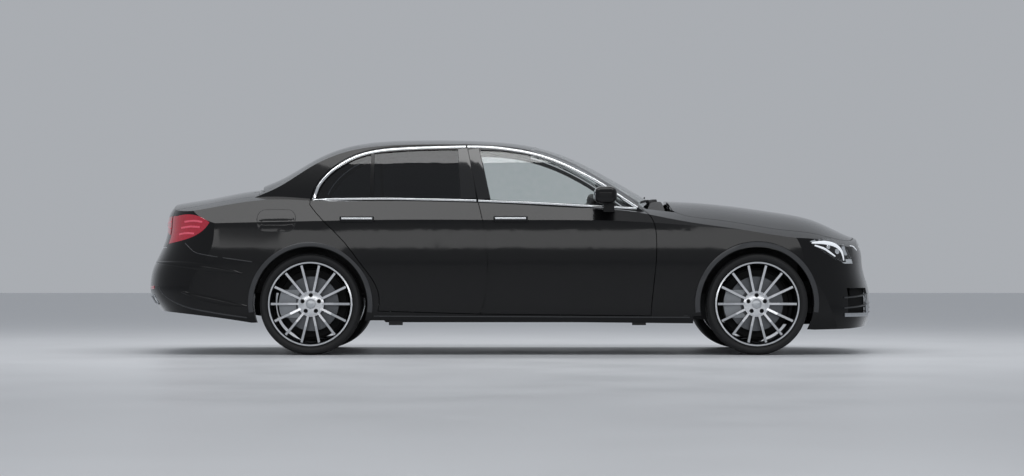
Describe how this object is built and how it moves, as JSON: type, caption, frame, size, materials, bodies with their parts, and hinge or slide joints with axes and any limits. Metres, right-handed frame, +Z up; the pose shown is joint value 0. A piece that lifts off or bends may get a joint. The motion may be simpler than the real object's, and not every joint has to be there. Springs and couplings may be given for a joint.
{
  "type": "executive sedan",
  "caption": "Black four-door executive sedan with opening doors, hood and boot lid, steered front wheels and slim multi-spoke alloy wheels.",
  "frame": {"origin": "on the ground, under the middle of the car's length, on its centre plane", "axes": "+X forward, +Y to the car's left, +Z up"},
  "size_m": [4.92, 2.061, 1.4509],
  "materials": {
    "paint": "gloss",
    "clear_glass": "polished",
    "tinted_glass": "polished",
    "lamp_clear": "polished",
    "lamp_red": "gloss",
    "black_gloss": "gloss",
    "trim": "matte",
    "underbody": "matte",
    "leather": "satin",
    "cabin_trim": "matte",
    "tyre": "matte",
    "alloy": "satin",
    "iron": "satin",
    "suspension": "satin",
    "engine": "matte",
    "steel": "satin",
    "rubber": "matte"
  },
  "bodies": {
    "body": {"body_side_left": "paint", "body_side_right": "paint", "cowl": "trim", "dashboard": "cabin_trim", "engine": "engine", "exhaust": "steel", "fender_left": "paint", "fender_right": "paint", "floor_pan": "underbody", "front_bumper": "paint", "front_frame": "underbody", "front_seats": "leather", "front_suspension": "suspension", "grille": "black_gloss", "headlamps": "lamp_clear", "jack_pads": "rubber", "parcel_shelf": "cabin_trim", "rear_bumper": "paint", "rear_carrier_left": "suspension", "rear_carrier_right": "suspension", "rear_seat": "leather", "rear_suspension": "suspension", "rear_window": "tinted_glass", "roof_panel": "paint", "steering_wheel": "cabin_trim", "tail_lamps": "lamp_red", "tail_panel": "trim", "wheel_liners": "trim", "windscreen": "clear_glass"},
    "door_fl": {"front_door_left": "paint", "front_window_left": "clear_glass", "front_handle_left": "paint", "door_mirror_left": "paint"},
    "wheel_fl": {"front_tyre_left": "tyre", "front_rim_left": "alloy", "front_disc_left": "iron"},
    "door_rl": {"rear_door_left": "paint", "rear_window_left": "tinted_glass", "rear_handle_left": "paint"},
    "wheel_rl": {"rear_tyre_left": "tyre", "rear_rim_left": "alloy", "rear_disc_left": "iron"},
    "knuckle_l": {"front_knuckle_left": "suspension"},
    "door_fr": {"front_door_right": "paint", "front_window_right": "clear_glass", "front_handle_right": "paint", "door_mirror_right": "paint"},
    "wheel_fr": {"front_tyre_right": "tyre", "front_rim_right": "alloy", "front_disc_right": "iron"},
    "door_rr": {"rear_door_right": "paint", "rear_window_right": "tinted_glass", "rear_handle_right": "paint"},
    "wheel_rr": {"rear_tyre_right": "tyre", "rear_rim_right": "alloy", "rear_disc_right": "iron"},
    "knuckle_r": {"front_knuckle_right": "suspension"},
    "hood": {"hood": "paint"},
    "boot": {"boot_lid": "paint"}
  },
  "joints": [
    {"name": "door_fl_hinge", "type": "hinge", "parent": "body", "child": "door_fl", "pos_m": [0.9275, 0.901, 0.6], "axis": [0, 0, -1], "range_deg": [0, 65]},
    {"name": "door_rl_hinge", "type": "hinge", "parent": "body", "child": "door_rl", "pos_m": [-0.192, 0.901, 0.6], "axis": [0, 0, -1], "range_deg": [0, 65]},
    {"name": "steer_l", "type": "hinge", "parent": "body", "child": "knuckle_l", "pos_m": [1.6225, 0.725, 0.336], "axis": [0, 0, 1], "range_deg": [-35, 35]},
    {"name": "spin_fl", "type": "hinge", "parent": "knuckle_l", "child": "wheel_fl", "pos_m": [1.6225, 0.795, 0.336], "axis": [0, 1, 0], "continuous": true},
    {"name": "spin_rl", "type": "hinge", "parent": "body", "child": "wheel_rl", "pos_m": [-1.3165, 0.795, 0.336], "axis": [0, 1, 0], "continuous": true},
    {"name": "door_fr_hinge", "type": "hinge", "parent": "body", "child": "door_fr", "pos_m": [0.9275, -0.901, 0.6], "axis": [0, 0, 1], "range_deg": [0, 65]},
    {"name": "door_rr_hinge", "type": "hinge", "parent": "body", "child": "door_rr", "pos_m": [-0.192, -0.901, 0.6], "axis": [0, 0, 1], "range_deg": [0, 65]},
    {"name": "steer_r", "type": "hinge", "parent": "body", "child": "knuckle_r", "pos_m": [1.6225, -0.725, 0.336], "axis": [0, 0, 1], "range_deg": [-35, 35]},
    {"name": "spin_fr", "type": "hinge", "parent": "knuckle_r", "child": "wheel_fr", "pos_m": [1.6225, -0.795, 0.336], "axis": [0, 1, 0], "continuous": true},
    {"name": "spin_rr", "type": "hinge", "parent": "body", "child": "wheel_rr", "pos_m": [-1.3165, -0.795, 0.336], "axis": [0, 1, 0], "continuous": true},
    {"name": "hood_hinge", "type": "hinge", "parent": "body", "child": "hood", "pos_m": [1.0785, 0, 0.985], "axis": [0, -1, 0], "range_deg": [0, 60]},
    {"name": "boot_hinge", "type": "hinge", "parent": "body", "child": "boot", "pos_m": [-1.7215, 0, 1.076], "axis": [0, 1, 0], "range_deg": [0, 80]}
  ],
  "couplings": [
    {"joint": "steer_r", "follows": "steer_l", "ratio": 1}
  ]
}
